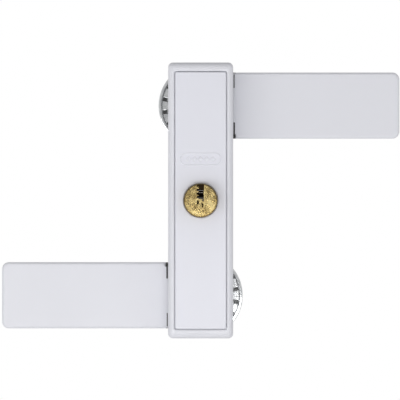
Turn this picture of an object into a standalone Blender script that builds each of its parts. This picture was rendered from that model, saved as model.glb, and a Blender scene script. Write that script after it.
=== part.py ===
"""Keyed window lock for a pair of casements: two swinging bars, a case and a push-in cylinder.

Everything is modelled in the lock's own frame: +X right, +Y up and +Z straight out from the
wall. The empty lock_frame stands that frame up, so that in the world the lock hangs on a wall
in the XZ plane and faces -Y. The lower half of the mechanism is the upper half turned by half
a turn about the cylinder.
"""
import math

import bmesh
import bpy
from mathutils import Matrix, Vector

# ---- driving dimensions, metres -------------------------------------------------------------
GAP = 0.0003                    # between pieces that touch
PIVOT_HEIGHT = 0.0484           # cylinder axis to each bar's pivot
CASE_WIDTH = 0.0330
CASE_LENGTH = 0.1400
CASE_CORNER = 0.0025
CASE_WALL = 0.0022
COVER_WIDTH = 0.0258
COVER_LENGTH = 0.1302
COVER_GROOVE = 0.0005
BAR_REACH = 0.1013              # pivot to the bar's free end
BAR_WIDTH = 0.0337
BAR_TIP = 0.0034                # the blade's two round free corners
BAR_SHOULDER = 0.0166           # pivot to where the neck widens into the blade
NECK_WIDTH = 0.0172
EYE_RADIUS = 0.0150
HUB_RADIUS = 0.0215
CYLINDER_RADIUS = 0.0085
PUSH_TRAVEL = 0.0060
BOLT_TRAVEL = 0.0040
WAFER_COUNT = 5
WAFER_PITCH = 0.0023
WAFER_THICKNESS = 0.0006
WAFER_HALF = (0.0027, 0.0042)
WAFER_TRAVEL = 0.0016

# ---- layers, measured out from the wall: (back, front) --------------------------------------
PLATE = (0.0, 0.0020)
HUB = (0.0023, 0.0065)
BAR = (0.0068, 0.0108)
BOLT = (0.0070, 0.0106)
BOLT_FLOOR = 0.0067
RAIL_TOP = 0.0112
CASE_BACK = 0.0116
PEDESTAL_BACK = 0.0023
POST_TOP = 0.0197
FRONT_WALL = (0.0275, 0.0295)
CASE_FRONT = 0.0310
COVER = (0.0298, 0.0313)
GUIDE = (0.0116, 0.0272)
YOKE_DISC = (0.0175, 0.0183)
CAM = (0.0186, 0.0204)
BODY = (0.0207, 0.0357)
PLUG_HEAD = (0.0360, 0.0385)    # popped out, the unlocked position

# ---- fits inside ----------------------------------------------------------------------------
POST_RADIUS = 0.0045
BUSH = (0.0048, 0.0056)         # inner and outer radius
BOSS_RADIUS = 0.0090            # the hub's boss, which centres the bar
RIVET_CIRCLE = 0.0120
RIVET_ANGLES = (20, 120, 225)
BOLT_WIDTH = 0.0080
NOTCH_DEPTH = 0.0044
PEDESTAL_HALF = 0.0240
CASE_BOSS_RADIUS = 0.0062
SCREW_HEAD_RADIUS = 0.0042
PLUG_RADIUS = 0.0050
BORE_RADIUS = 0.0053
YOKE_PIN_CIRCLE = 0.0069
YOKE_PIN_ANGLES = (80, 190)
LUG_REACH = 0.0104
CHAMBER_RADIUS = 0.0110
LEDGE = (0.0147, 0.0183)
GUIDE_SCREW_PLACES = ((0.0082, 0.0180), (-0.0082, -0.0180))
PLATE_SCREW_PLACES = ((0.0095, 0.0215), (-0.0095, 0.0215), (0.0095, -0.0215), (-0.0095, -0.0215))
WINDOW = (0.0120, 0.0268)       # the slot in a locking bolt that holds its spring
SPRING_PIN_HEIGHT = 0.0246
SPRING_WIRE = 0.00025
SPRING_RADIUS = 0.0012

# ---- finishes: colour, roughness, metallic --------------------------------------------------
WHITE_PAINT = ((0.80, 0.80, 0.83), 0.38, 0.0)
WHITE_PLASTIC = ((0.82, 0.82, 0.85), 0.30, 0.0)
ZINC = ((0.62, 0.63, 0.64), 0.38, 1.0)
STEEL = ((0.50, 0.51, 0.53), 0.35, 1.0)
SPRING_STEEL = ((0.30, 0.30, 0.32), 0.40, 1.0)
BRASS = ((0.75, 0.56, 0.25), 0.28, 1.0)
BRONZE = ((0.55, 0.36, 0.18), 0.45, 1.0)
BLACK_PLASTIC = ((0.03, 0.03, 0.03), 0.55, 0.0)

for old in list(bpy.data.objects):
    bpy.data.objects.remove(old, do_unlink=True)

parts = bpy.data.collections.new("keyed_window_lock")
cutters = bpy.data.collections.new("lock_cutters")
bpy.context.scene.collection.children.link(parts)
bpy.context.scene.collection.children.link(cutters)


# ---- making solids --------------------------------------------------------------------------
def empty(name, parent=None, location=(0, 0, 0), rotation=(0, 0, 0)):
    """An empty that carries the pieces of one moving group."""
    obj = bpy.data.objects.new(name, None)
    obj.empty_display_size = 0.01
    obj.location = location
    obj.rotation_euler = rotation
    obj.parent = parent
    parts.objects.link(obj)
    return obj


def finished(obj, finish):
    """Give a piece its own material, and smooth its round faces."""
    colour, roughness, metallic = finish
    material = bpy.data.materials.new(obj.name + "_finish")
    material.use_nodes = True
    shader = material.node_tree.nodes["Principled BSDF"]
    shader.inputs["Base Color"].default_value = (*colour, 1.0)
    shader.inputs["Roughness"].default_value = roughness
    shader.inputs["Metallic"].default_value = metallic
    obj.data.materials.append(material)
    return obj


def mesh_object(name, bm, parent, collection=None):
    mesh = bpy.data.meshes.new(name)
    bm.to_mesh(mesh)
    bm.free()
    mesh.shade_smooth()
    mesh.set_sharp_from_angle(angle=math.radians(35))
    obj = bpy.data.objects.new(name, mesh)
    (collection or parts).objects.link(obj)
    obj.parent = parent
    return obj


def as_mesh(source, name, parent):
    """Turn a curve, or a mesh with a modifier, into a plain mesh whose place is in the mesh."""
    bpy.context.view_layer.update()
    evaluated = source.evaluated_get(bpy.context.evaluated_depsgraph_get())
    mesh = bpy.data.meshes.new_from_object(evaluated)
    bm = bmesh.new()
    bm.from_mesh(mesh)
    bpy.data.meshes.remove(mesh)
    bm.transform(source.matrix_world)
    bmesh.ops.remove_doubles(bm, verts=bm.verts, dist=1e-6)
    bpy.data.objects.remove(source, do_unlink=True)
    return mesh_object(name, bm, parent)


def box(x, y, z):
    """A block between the given lowest and highest x, y and z."""
    low, high = Vector((x[0], y[0], z[0])), Vector((x[1], y[1], z[1]))
    bm = bmesh.new()
    place = Matrix.Translation((low + high) / 2) @ Matrix.Diagonal((*(high - low), 1))
    bmesh.ops.create_cube(bm, size=1, matrix=place)
    return bm


def cylinder(radius, z, centre=(0, 0), segments=24):
    bm = bmesh.new()
    place = Matrix.Translation((centre[0], centre[1], (z[0] + z[1]) / 2))
    bmesh.ops.create_cone(
        bm, cap_ends=True, segments=segments, radius1=radius, radius2=radius,
        depth=z[1] - z[0], matrix=place,
    )
    return bm


def round_block(x, y, z, corner, rim):
    """A block with its upright edges rounded by corner, and its front edges by rim."""
    bm = box(x, y, z)
    upright = [e for e in bm.edges if abs(e.verts[0].co.z - e.verts[1].co.z) > 1e-6]
    bmesh.ops.bevel(bm, geom=upright, offset=corner, segments=4, profile=0.5, affect="EDGES")
    front = [e for e in bm.edges if all(abs(v.co.z - z[1]) < 1e-6 for v in e.verts)]
    bmesh.ops.bevel(bm, geom=front, offset=rim, segments=3, profile=0.5, affect="EDGES")
    return bm


def arc(radius, start, end, steps, centre=(0, 0)):
    """Points along an arc, from one angle to another in degrees."""
    points = []
    for step in range(steps + 1):
        angle = math.radians(start + (end - start) * step / steps)
        points.append((centre[0] + radius * math.cos(angle), centre[1] + radius * math.sin(angle)))
    return points


def circle(radius, centre=(0, 0), steps=24):
    return arc(radius, 0, 360, steps, centre)[:-1]


def round_rectangle(width, height, corner, steps=4):
    points = []
    for quarter, (sx, sy) in enumerate(((1, 1), (-1, 1), (-1, -1), (1, -1))):
        centre = (sx * (width / 2 - corner), sy * (height / 2 - corner))
        points += arc(corner, 90 * quarter, 90 * quarter + 90, steps, centre)
    return points


def sheet(name, outlines, z, parent):
    """A flat piece: the first outline is its edge and the others are its holes."""
    data = bpy.data.curves.new(name + "_outline", "CURVE")
    data.dimensions = "2D"
    data.fill_mode = "BOTH"
    data.extrude = (z[1] - z[0]) / 2
    for outline in outlines:
        spline = data.splines.new("POLY")
        spline.points.add(len(outline) - 1)
        for point, (x, y) in zip(spline.points, outline):
            point.co = (x, y, 0, 1)
        spline.use_cyclic_u = True
    source = bpy.data.objects.new(name + "_outline", data)
    source.location.z = (z[0] + z[1]) / 2
    bpy.context.scene.collection.objects.link(source)
    return as_mesh(source, name, parent)


def turned(name, profile, parent, steps=28):
    """A turned piece. The profile of (radius, z) points runs down the outer side; one that
    touches the axis starts and ends there, and any other is a closed ring section."""
    mesh = bpy.data.meshes.new(name + "_profile")
    edges = [(i, i + 1) for i in range(len(profile) - 1)]
    if profile[0][0] > 0:
        edges.append((len(profile) - 1, 0))
    mesh.from_pydata([(radius, 0, z) for radius, z in profile], edges, [])
    source = bpy.data.objects.new(name + "_profile", mesh)
    bpy.context.scene.collection.objects.link(source)
    screw = source.modifiers.new("turn", "SCREW")
    screw.axis = "Z"
    screw.steps = steps
    screw.render_steps = steps
    screw.use_merge_vertices = True
    screw.merge_threshold = 1e-5
    return as_mesh(source, name, parent)


def combine(target, bm, operation="DIFFERENCE"):
    """Cut a shape out of a piece, or weld it on with UNION."""
    number = len(target.modifiers) + 1
    tool = mesh_object(f"{target.name}_tool_{number}", bm, target.parent, cutters)
    tool.hide_render = True
    tool.display_type = "WIRE"
    boolean = target.modifiers.new(f"tool_{number}", "BOOLEAN")
    boolean.operation = operation
    boolean.object = tool


# ---- the fixed pieces -----------------------------------------------------------------------
def make_base_plate(frame):
    holes = [circle(0.0028, (0, side * PIVOT_HEIGHT)) for side in (1, -1)]
    holes += [circle(0.00225, place, 16) for place in PLATE_SCREW_PLACES]
    edge = round_rectangle(CASE_WIDTH - 0.003, CASE_LENGTH - 0.004, 0.003)
    finished(sheet("base_plate", [edge] + holes, PLATE, frame), STEEL)


def make_pivot(side, half):
    """The post that a bar turns on, with the washer, spring and ring that press the bar down."""
    groove = (0.0136, 0.0150)
    profile = [
        (0, 0.0085), (0.0028, 0.0085), (0.0028, POST_TOP), (POST_RADIUS, POST_TOP),
        (POST_RADIUS, groove[1]), (0.0036, groove[1]), (0.0036, groove[0]),
        (POST_RADIUS, groove[0]), (POST_RADIUS, PLATE[1] + GAP), (0.0025, PLATE[1] + GAP),
        (0.0025, GAP), (0, GAP),
    ]
    finished(turned(f"{side}_pivot_post", profile, half, 24), STEEL)
    ring = [(0.0048, 0.0121), (0.0080, 0.0121), (0.0080, 0.0111), (0.0048, 0.0111)]
    finished(turned(f"{side}_thrust_washer", ring, half), STEEL)
    cone = [(0.0049, 0.0136), (0.0080, 0.0129), (0.0080, 0.0124), (0.0049, 0.0131)]
    finished(turned(f"{side}_disc_spring", cone, half), SPRING_STEEL)
    clip = arc(0.0070, -55, 235, 20) + arc(0.0039, 235, -55, 16)
    finished(sheet(f"{side}_retaining_ring", [clip], (0.0139, 0.0147), half), SPRING_STEEL)


def make_case(frame):
    """The white shell: open behind, standing on the plate only between the two hubs."""
    half_x, half_y = CASE_WIDTH / 2, CASE_LENGTH / 2
    shell = round_block(
        (-half_x, half_x), (-half_y, half_y), (PEDESTAL_BACK, CASE_FRONT), CASE_CORNER, 0.0022
    )
    case = mesh_object("case_housing", shell, frame)
    inner_x, inner_y = half_x - CASE_WALL, half_y - CASE_WALL
    combine(case, box((-inner_x, inner_x), (-inner_y, inner_y), (-0.01, FRONT_WALL[0])))
    for low, high in ((PEDESTAL_HALF, 0.08), (-0.08, -PEDESTAL_HALF)):
        combine(case, box((-0.03, 0.03), (low, high), (-0.02, CASE_BACK)))
    recess_x, recess_y = COVER_WIDTH / 2 + COVER_GROOVE, COVER_LENGTH / 2 + COVER_GROOVE
    recess = box((-recess_x, recess_x), (-recess_y, recess_y), (FRONT_WALL[1], 0.04))
    combine(case, recess)
    for side in (1, -1):
        centre = (0, side * PIVOT_HEIGHT)
        boss = cylinder(CASE_BOSS_RADIUS, (POST_TOP + GAP, FRONT_WALL[0] + 0.001), centre, 32)
        combine(case, boss, "UNION")
        combine(case, cylinder(0.0028, (0.01, 0.0285), centre))
        combine(case, cylinder(SCREW_HEAD_RADIUS + 0.0004, (0.0272, 0.035), centre, 32))
    combine(case, cylinder(CYLINDER_RADIUS + 0.0004, (0.02, 0.035), segments=40))
    finished(case, WHITE_PAINT)


def make_cover(frame):
    half_x, half_y = COVER_WIDTH / 2, COVER_LENGTH / 2
    plate = round_block((-half_x, half_x), (-half_y, half_y), COVER, 0.0010, 0.0003)
    cover = mesh_object("cover_plate", plate, frame)
    combine(cover, cylinder(CYLINDER_RADIUS + 0.0003, (0.02, 0.04), segments=40))
    finished(cover, WHITE_PLASTIC)


def make_case_screw(side, half):
    head = (FRONT_WALL[0], 0.0292)
    profile = [
        (0, 0.0280), (0.0014, 0.0280), (0.0014, head[1]), (0.0038, head[1]),
        (SCREW_HEAD_RADIUS, 0.0288), (SCREW_HEAD_RADIUS, head[0]), (0.0024, head[0]),
        (0.0024, 0.0105), (0.0018, 0.0098), (0, 0.0098),
    ]
    finished(turned(f"{side}_case_screw", profile, half, 24), STEEL)


def make_cylinder_guide(frame):
    """The zinc block that guides the cylinder. Its ledge holds the cam once the key turns."""
    outlines = [round_rectangle(0.0270, 0.0440, 0.0020), circle(CYLINDER_RADIUS + 0.0003, steps=40)]
    guide = sheet("cylinder_guide", outlines, GUIDE, frame)
    combine(guide, cylinder(CHAMBER_RADIUS, (0.005, BODY[0]), segments=40))
    ledge = sheet(
        "ledge", [arc(0.0116, -120, -60, 8) + arc(0.0096, -60, -120, 8)], LEDGE, frame
    )
    bm = bmesh.new()
    bm.from_mesh(ledge.data)
    bpy.data.objects.remove(ledge, do_unlink=True)
    combine(guide, bm, "UNION")
    for place in GUIDE_SCREW_PLACES:
        combine(guide, cylinder(0.0017, (0.005, 0.0190), place, 16))
    finished(guide, ZINC)


def make_bolt_guide(frame):
    """The block on the base plate that both locking bolts slide in, with a pin for each spring."""
    half = BOLT_WIDTH / 2 + GAP
    block = round_block(
        (-0.0120, 0.0120), (-0.0258, 0.0258), (PLATE[1] + GAP, RAIL_TOP), 0.0010, 0.0003
    )
    guide = mesh_object("bolt_guide", block, frame)
    combine(guide, box((-half, half), (-0.04, 0.04), (BOLT_FLOOR, 0.02)))
    combine(guide, box((0.0001 - half, half - 0.0001), (-0.0048, 0.0048), (0.0044, 0.0090)))
    for side in (1, -1):
        pin = cylinder(0.0009, (0.0055, 0.0104), (0, side * SPRING_PIN_HEIGHT), 16)
        combine(guide, pin, "UNION")
    for place in GUIDE_SCREW_PLACES:
        combine(guide, cylinder(0.0030, (-0.001, 0.0050), place))
        combine(guide, cylinder(0.0017, (0.0040, 0.02), place, 16))
    finished(guide, BLACK_PLASTIC)


def make_guide_screws(frame):
    for number, (x, y) in enumerate(GUIDE_SCREW_PLACES, start=1):
        carrier = empty(f"guide_screw_{number}_place", frame, (x, y, 0))
        profile = [
            (0, 0.0180), (0.0014, 0.0180), (0.0014, 0.0046), (0.0026, 0.0046),
            (0.0026, 0.0027), (0, 0.0027),
        ]
        finished(turned(f"guide_screw_{number}", profile, carrier, 20), STEEL)


# ---- a swinging arm -------------------------------------------------------------------------
def bar_outline():
    """The bar's edge, from the eye with its two notches to the blade's round free corners."""
    half_neck, half_blade = NECK_WIDTH / 2, BAR_WIDTH / 2
    half_notch = BOLT_WIDTH / 2 + GAP
    floor = EYE_RADIUS - NOTCH_DEPTH
    neck_angle = math.degrees(math.asin(half_neck / EYE_RADIUS))
    notch_angle = math.degrees(math.asin(half_notch / EYE_RADIUS))
    edge = []
    edge += arc(EYE_RADIUS, neck_angle, 180 - notch_angle, 16)
    edge += [(-floor, half_notch), (-floor, -half_notch)]
    edge += arc(EYE_RADIUS, 180 + notch_angle, 270 - notch_angle, 7)
    edge += [(-half_notch, -floor), (half_notch, -floor)]
    edge += arc(EYE_RADIUS, 270 + notch_angle, 360 - neck_angle, 4)
    edge += [(BAR_SHOULDER, -half_neck), (BAR_SHOULDER, -half_blade)]
    edge += arc(BAR_TIP, -90, 0, 6, (BAR_REACH - BAR_TIP, BAR_TIP - half_blade))
    edge += arc(BAR_TIP, 0, 90, 6, (BAR_REACH - BAR_TIP, half_blade - BAR_TIP))
    edge += [(BAR_SHOULDER, half_blade), (BAR_SHOULDER, half_neck)]
    return edge


def rivet_places():
    places = []
    for angle in RIVET_ANGLES:
        turn = math.radians(angle)
        places.append((RIVET_CIRCLE * math.cos(turn), RIVET_CIRCLE * math.sin(turn)))
    return places


def make_arm(side, arm):
    bar_holes = [circle(BOSS_RADIUS + GAP, steps=32)]
    bar = sheet(f"{side}_bar", [bar_outline()] + bar_holes, BAR, arm)
    nick = box((0.0160, 0.0182), (-0.0200, 0.0022 - BAR_WIDTH / 2), (0.0078, 0.0200))
    combine(bar, nick)
    hub_profile = [
        (BUSH[1] + GAP, 0.0105), (BOSS_RADIUS, 0.0105), (BOSS_RADIUS, HUB[1]),
        (0.0168, HUB[1]), (0.0168, 0.0057), (0.0202, 0.0057), (0.0202, HUB[1]),
        (HUB_RADIUS, HUB[1]), (HUB_RADIUS, HUB[0]), (BUSH[1] + GAP, HUB[0]),
    ]
    hub = turned(f"{side}_hub", hub_profile, arm, 44)
    for number, place in enumerate(rivet_places(), start=1):
        combine(bar, cylinder(0.0018, (0.005, 0.012), place, 16))
        combine(bar, cylinder(0.0028, (0.0097, 0.012), place, 20))
        combine(hub, cylinder(0.0018, (0.001, 0.0080), place, 16))
        carrier = empty(f"{side}_rivet_{number}_place", arm, (*place, 0))
        profile = [
            (0, 0.0107), (0.0022, 0.0107), (0.0025, 0.0104), (0.0025, 0.0100),
            (0.0015, 0.0100), (0.0015, 0.0026), (0, 0.0026),
        ]
        finished(turned(f"{side}_rivet_{number}", profile, carrier, 16), STEEL)
    finished(bar, WHITE_PAINT)
    finished(hub, ZINC)
    bush = [(BUSH[0], 0.0108), (BUSH[1], 0.0108), (BUSH[1], 0.0026), (BUSH[0], 0.0026)]
    finished(turned(f"{side}_bush", bush, arm), BRONZE)


# ---- the locking bolts and their springs ----------------------------------------------------
def make_bolt(side, half):
    """A bolt whose sloping rear face rests on the yoke's wedge, and the spring inside it."""
    slope = BOLT_TRAVEL / PUSH_TRAVEL
    rear, tip = 0.0005, PIVOT_HEIGHT - EYE_RADIUS - 0.0006
    bm = box((-BOLT_WIDTH / 2, BOLT_WIDTH / 2), (rear, tip), BOLT)
    for vert in bm.verts:
        if vert.co.y < 0.001 and vert.co.z > BOLT[0] + 0.001:
            vert.co.y += slope * (BOLT[1] - BOLT[0])
    bolt = mesh_object(f"{side}_locking_bolt", bm, half)
    combine(bolt, box((-0.0017, 0.0017), WINDOW, (0.005, 0.013)))
    finished(bolt, STEEL)

    data = bpy.data.curves.new(f"{side}_bolt_spring", "CURVE")
    data.dimensions = "3D"
    data.bevel_depth = SPRING_WIRE
    data.bevel_resolution = 2
    data.use_fill_caps = True
    low = WINDOW[0] + GAP + SPRING_WIRE
    high = SPRING_PIN_HEIGHT - 0.0009 - GAP - SPRING_WIRE
    turns, steps = 6, 8
    spline = data.splines.new("POLY")
    spline.points.add(turns * steps)
    for number, point in enumerate(spline.points):
        share = number / (turns * steps)
        angle = 2 * math.pi * turns * share
        middle = (BOLT[0] + BOLT[1]) / 2
        x = SPRING_RADIUS * math.cos(angle)
        z = middle + SPRING_RADIUS * math.sin(angle)
        point.co = (x, low + (high - low) * share, z, 1)
    spring = bpy.data.objects.new(f"{side}_bolt_spring", data)
    parts.objects.link(spring)
    spring.parent = half
    finished(spring, SPRING_STEEL)


# ---- the cylinder ---------------------------------------------------------------------------
def yoke_pin_places():
    places = []
    for angle in YOKE_PIN_ANGLES:
        turn = math.radians(angle)
        places.append((YOKE_PIN_CIRCLE * math.cos(turn), YOKE_PIN_CIRCLE * math.sin(turn)))
    return places


def make_cylinder(frame):
    body_profile = [
        (BORE_RADIUS, BODY[1]), (CYLINDER_RADIUS, BODY[1]),
        (CYLINDER_RADIUS, BODY[0]), (BORE_RADIUS, BODY[0]),
    ]
    body = turned("cylinder_body", body_profile, frame, 36)
    half_groove = WAFER_HALF[0] + GAP
    floor = WAFER_HALF[1] + WAFER_TRAVEL + 0.0005
    combine(body, box((-half_groove, half_groove), (-floor, -0.0035), (0.0230, 0.0370)))
    combine(body, box((-floor, -0.0035), (-half_groove, half_groove), (0.0230, 0.0370)))
    for place in yoke_pin_places():
        combine(body, cylinder(0.00125, (0.0190, 0.0222), place, 16))
    finished(body, BRASS)

    slope = BOLT_TRAVEL / PUSH_TRAVEL
    nose, root = 0.0112, 0.0179
    tip_half = 0.00294
    wedge = box((-0.0039, 0.0039), (-tip_half, tip_half), (nose, root))
    for vert in wedge.verts:
        if vert.co.z > nose + 0.001:
            vert.co.y += math.copysign(slope * (root - nose), vert.co.y)
    yoke = mesh_object("wedge_yoke", cylinder(0.0092, YOKE_DISC, segments=40), frame)
    combine(yoke, wedge, "UNION")
    for place in yoke_pin_places():
        pin = cylinder(0.0010, (YOKE_DISC[0] + 0.0003, 0.0219), place, 16)
        combine(yoke, pin, "UNION")
    finished(yoke, STEEL)


def make_plug(frame):
    profile = [
        (0, PLUG_HEAD[1]), (0.0080, PLUG_HEAD[1]), (CYLINDER_RADIUS, PLUG_HEAD[1] - 0.0005),
        (CYLINDER_RADIUS, PLUG_HEAD[0]), (PLUG_RADIUS, PLUG_HEAD[0]),
        (PLUG_RADIUS, BODY[0]), (0, BODY[0]),
    ]
    plug = turned("cylinder_plug", profile, frame, 36)
    combine(plug, box((-0.0015, 0.0015), (-0.0015, 0.0015), (CAM[0], 0.0215)), "UNION")
    combine(plug, box((-0.0015, 0.0017), (-0.0033, 0.0100), (0.0224, 0.0400)))
    for number in range(WAFER_COUNT):
        middle = 0.0246 + WAFER_PITCH * number
        x, y, half = *WAFER_HALF, WAFER_THICKNESS / 2
        slot = box((-x - GAP, x + GAP), (-0.0060, 0.0060), (middle - half - GAP, middle + half + GAP))
        combine(plug, slot)
        outline = [(-x, -y), (x, -y), (x, y), (-x, y)]
        hole_low = -0.0028 + 0.0004 * (number % 3)
        hole = [(-0.0012, hole_low), (0.0014, hole_low), (0.0014, 0.0030), (-0.0012, 0.0030)]
        wafer = sheet(
            f"wafer_{number + 1}", [outline, hole], (middle - half, middle + half), frame
        )
        finished(wafer, ZINC)
    finished(plug, BRASS)

    half_lug = 0.0022
    hub_angle = math.degrees(math.asin(half_lug / 0.0054))
    tip_angle = math.degrees(math.asin(half_lug / LUG_REACH))
    edge = arc(0.0054, hub_angle, 360 - hub_angle, 24) + arc(LUG_REACH, -tip_angle, tip_angle, 3)
    hole = [(-0.0018, -0.0018), (0.0018, -0.0018), (0.0018, 0.0018), (-0.0018, 0.0018)]
    finished(sheet("locking_cam", [edge, hole], CAM, frame), STEEL)


lock_frame = empty("lock_frame", rotation=(math.pi / 2, 0, 0))
make_base_plate(lock_frame)
make_case(lock_frame)
make_cover(lock_frame)
make_cylinder_guide(lock_frame)
make_bolt_guide(lock_frame)
make_guide_screws(lock_frame)
make_cylinder(lock_frame)
make_plug(lock_frame)
for side_name, half_turn in (("upper", 0), ("lower", math.pi)):
    half_frame = empty(f"{side_name}_half", lock_frame, rotation=(0, 0, half_turn))
    make_bolt(side_name, half_frame)
    pivot = empty(f"{side_name}_pivot", half_frame, (0, PIVOT_HEIGHT, 0))
    make_pivot(side_name, pivot)
    make_case_screw(side_name, pivot)
    make_arm(side_name, pivot)
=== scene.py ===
"""A keyed window lock with two swinging bars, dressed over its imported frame.

Every piece is shaped in the lock's own frame, +X right, +Y up and +Z straight out from the wall,
and then stood up into the world by WALL, or by WALL_TURNED for the lower half of the lock, which
is the upper half after half a turn about the cylinder. Shapes are in millimetres until they stand
in the world, and lengths inside materials are in metres.
"""
import math

import bmesh
import bpy
from mathutils import Matrix, Vector


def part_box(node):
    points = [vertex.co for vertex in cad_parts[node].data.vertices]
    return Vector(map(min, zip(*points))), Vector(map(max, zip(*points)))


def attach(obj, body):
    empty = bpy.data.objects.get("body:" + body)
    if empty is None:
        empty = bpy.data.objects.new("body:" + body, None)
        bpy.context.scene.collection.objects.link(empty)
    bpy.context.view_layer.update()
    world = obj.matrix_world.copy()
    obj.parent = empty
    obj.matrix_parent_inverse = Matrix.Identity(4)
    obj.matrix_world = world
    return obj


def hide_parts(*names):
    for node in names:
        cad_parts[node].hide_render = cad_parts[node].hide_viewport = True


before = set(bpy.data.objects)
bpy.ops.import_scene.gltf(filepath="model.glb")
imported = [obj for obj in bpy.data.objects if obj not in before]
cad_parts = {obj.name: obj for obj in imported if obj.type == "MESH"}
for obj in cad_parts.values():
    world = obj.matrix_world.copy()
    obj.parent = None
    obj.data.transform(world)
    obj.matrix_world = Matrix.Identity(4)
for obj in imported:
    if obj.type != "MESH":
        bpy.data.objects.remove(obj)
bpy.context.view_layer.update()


# ---- base plate -----------------------------------------------------------------------------
# Pressed steel strip, zinc plated, screwed to the window frame with four countersunk wood
# screws. The two large holes take the riveted ends of the pivot posts.
MM = 1000.0
WALL = Matrix.Rotation(math.pi / 2, 4, "X") @ Matrix.Scale(1 / MM, 4)
WALL_TURNED = WALL @ Matrix.Rotation(math.pi, 4, "Z")
SIDES = {"upper": WALL, "lower": WALL_TURNED}


def layer(node):
    """How far a node's back and front stand out from the wall."""
    low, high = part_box(node)
    return -high.y * MM, -low.y * MM


def middle(node):
    """The x and y of a node's centre, in the lock's own frame."""
    low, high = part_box(node)
    return (low.x + high.x) / 2 * MM, (low.z + high.z) / 2 * MM


def half_size(node):
    """Half of a node's width and height."""
    low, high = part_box(node)
    return (high.x - low.x) / 2 * MM, (high.z - low.z) / 2 * MM


def arc(radius, start, end, steps, centre=(0, 0)):
    """Points along an arc, from one angle to another in degrees."""
    turns = [math.radians(start + (end - start) * i / steps) for i in range(steps + 1)]
    return [(centre[0] + radius * math.cos(t), centre[1] + radius * math.sin(t)) for t in turns]


def round_corners(half_x, half_y, corner, steps=8):
    """The outline of a rectangle with round corners, about the origin."""
    points = []
    for quarter, (sx, sy) in enumerate(((1, 1), (-1, 1), (-1, -1), (1, -1))):
        centre = (sx * (half_x - corner), sy * (half_y - corner))
        points += arc(corner, 90 * quarter, 90 * quarter + 90, steps, centre)
    return points


def loft(rings, closed=False):
    """A skin over rings of points. A ring of one point is a pole, and open ends are capped."""
    bm = bmesh.new()
    rows = [[bm.verts.new(point) for point in ring] for ring in rings]
    nexts = rows[1:] + rows[:1] if closed else rows[1:]
    for row, after in zip(rows, nexts):
        count = max(len(row), len(after))
        for i in range(count):
            j = (i + 1) % count
            corners = (row[i % len(row)], row[j % len(row)],
                       after[j % len(after)], after[i % len(after)])
            bm.faces.new(list(dict.fromkeys(corners)))
    if not closed:
        for row in (rows[0], rows[-1]):
            if len(row) > 2:
                bm.faces.new(row)
    bmesh.ops.recalc_face_normals(bm, faces=bm.faces)
    return bm


def lathe(profile, centre=(0, 0), steps=72):
    """A turned solid. A profile of (radius, z) that leaves out the axis is a closed ring."""
    rings = []
    for radius, z in profile:
        if radius == 0:
            rings.append([(centre[0], centre[1], z)])
        else:
            rings.append([(x, y, z) for x, y in arc(radius, 0, 360, steps, centre)[:-1]])
    return loft(rings, closed=profile[0][0] > 0)


def prism(outline, low, high):
    """A flat outline drawn out from one height to another."""
    return loft([[(x, y, z) for x, y in outline] for z in (low, high)])


def rod(radius, low, high, centre=(0, 0), steps=72):
    """A plain cylinder, mostly to cut a hole with."""
    return lathe([(0, low), (radius, low), (radius, high), (0, high)], centre, steps)


def block(low_x, high_x, low_y, high_y, low, high):
    """A plain box."""
    return prism([(low_x, low_y), (high_x, low_y), (high_x, high_y), (low_x, high_y)], low, high)


def smooth(mesh):
    """Shade a mesh smooth except along its sharper edges."""
    mesh.shade_smooth()
    mesh.set_sharp_from_angle(angle=math.radians(35))


def make(name, bm):
    """A mesh object from a bmesh."""
    mesh = bpy.data.meshes.new(name)
    bm.to_mesh(mesh)
    bm.free()
    smooth(mesh)
    obj = bpy.data.objects.new(name, mesh)
    bpy.context.scene.collection.objects.link(obj)
    return obj


def bake(obj):
    """Turn an object's modifiers into plain mesh."""
    bpy.context.view_layer.update()
    evaluated = obj.evaluated_get(bpy.context.evaluated_depsgraph_get())
    mesh = bpy.data.meshes.new_from_object(evaluated)
    obj.modifiers.clear()
    obj.data = mesh


def combine(obj, tool_shape, operation="DIFFERENCE"):
    """Cut a shape out of a piece, or weld it on."""
    tool = make(obj.name + "_tool", tool_shape)
    boolean = obj.modifiers.new("combine", "BOOLEAN")
    boolean.operation = operation
    boolean.solver = "MANIFOLD"
    boolean.object = tool
    bake(obj)
    smooth(obj.data)
    bpy.data.objects.remove(tool, do_unlink=True)


def soften(obj, width):
    """Round every sharp edge of a piece."""
    bevel = obj.modifiers.new("soften", "BEVEL")
    bevel.width = width
    bevel.segments = 2
    bevel.limit_method = "ANGLE"
    bevel.angle_limit = math.radians(50)
    bake(obj)
    smooth(obj.data)
    bm = bmesh.new()
    bm.from_mesh(obj.data)
    bmesh.ops.dissolve_degenerate(bm, dist=0.002, edges=bm.edges)
    bm.to_mesh(obj.data)
    bm.free()


def round_level(obj, level, width):
    """Round a piece's sharp edges that lie at one height."""
    bm = bmesh.new()
    bm.from_mesh(obj.data)
    rim = [edge for edge in bm.edges if edge.is_manifold and edge.calc_face_angle() > 0.9
           and all(abs(vert.co.z - level) < 0.001 for vert in edge.verts)]
    bmesh.ops.bevel(bm, geom=rim, offset=width, segments=2, profile=0.5, affect="EDGES",
                    clamp_overlap=True)
    bm.to_mesh(obj.data)
    bm.free()
    smooth(obj.data)


def add(tree, kind, inputs=None, **settings):
    """A node with its settings, and its inputs set or linked."""
    node = tree.nodes.new(kind)
    for key, value in settings.items():
        setattr(node, key, value)
    for key, value in (inputs or {}).items():
        if isinstance(value, bpy.types.NodeSocket):
            tree.links.new(value, node.inputs[key])
        else:
            node.inputs[key].default_value = value
    return node


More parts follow.
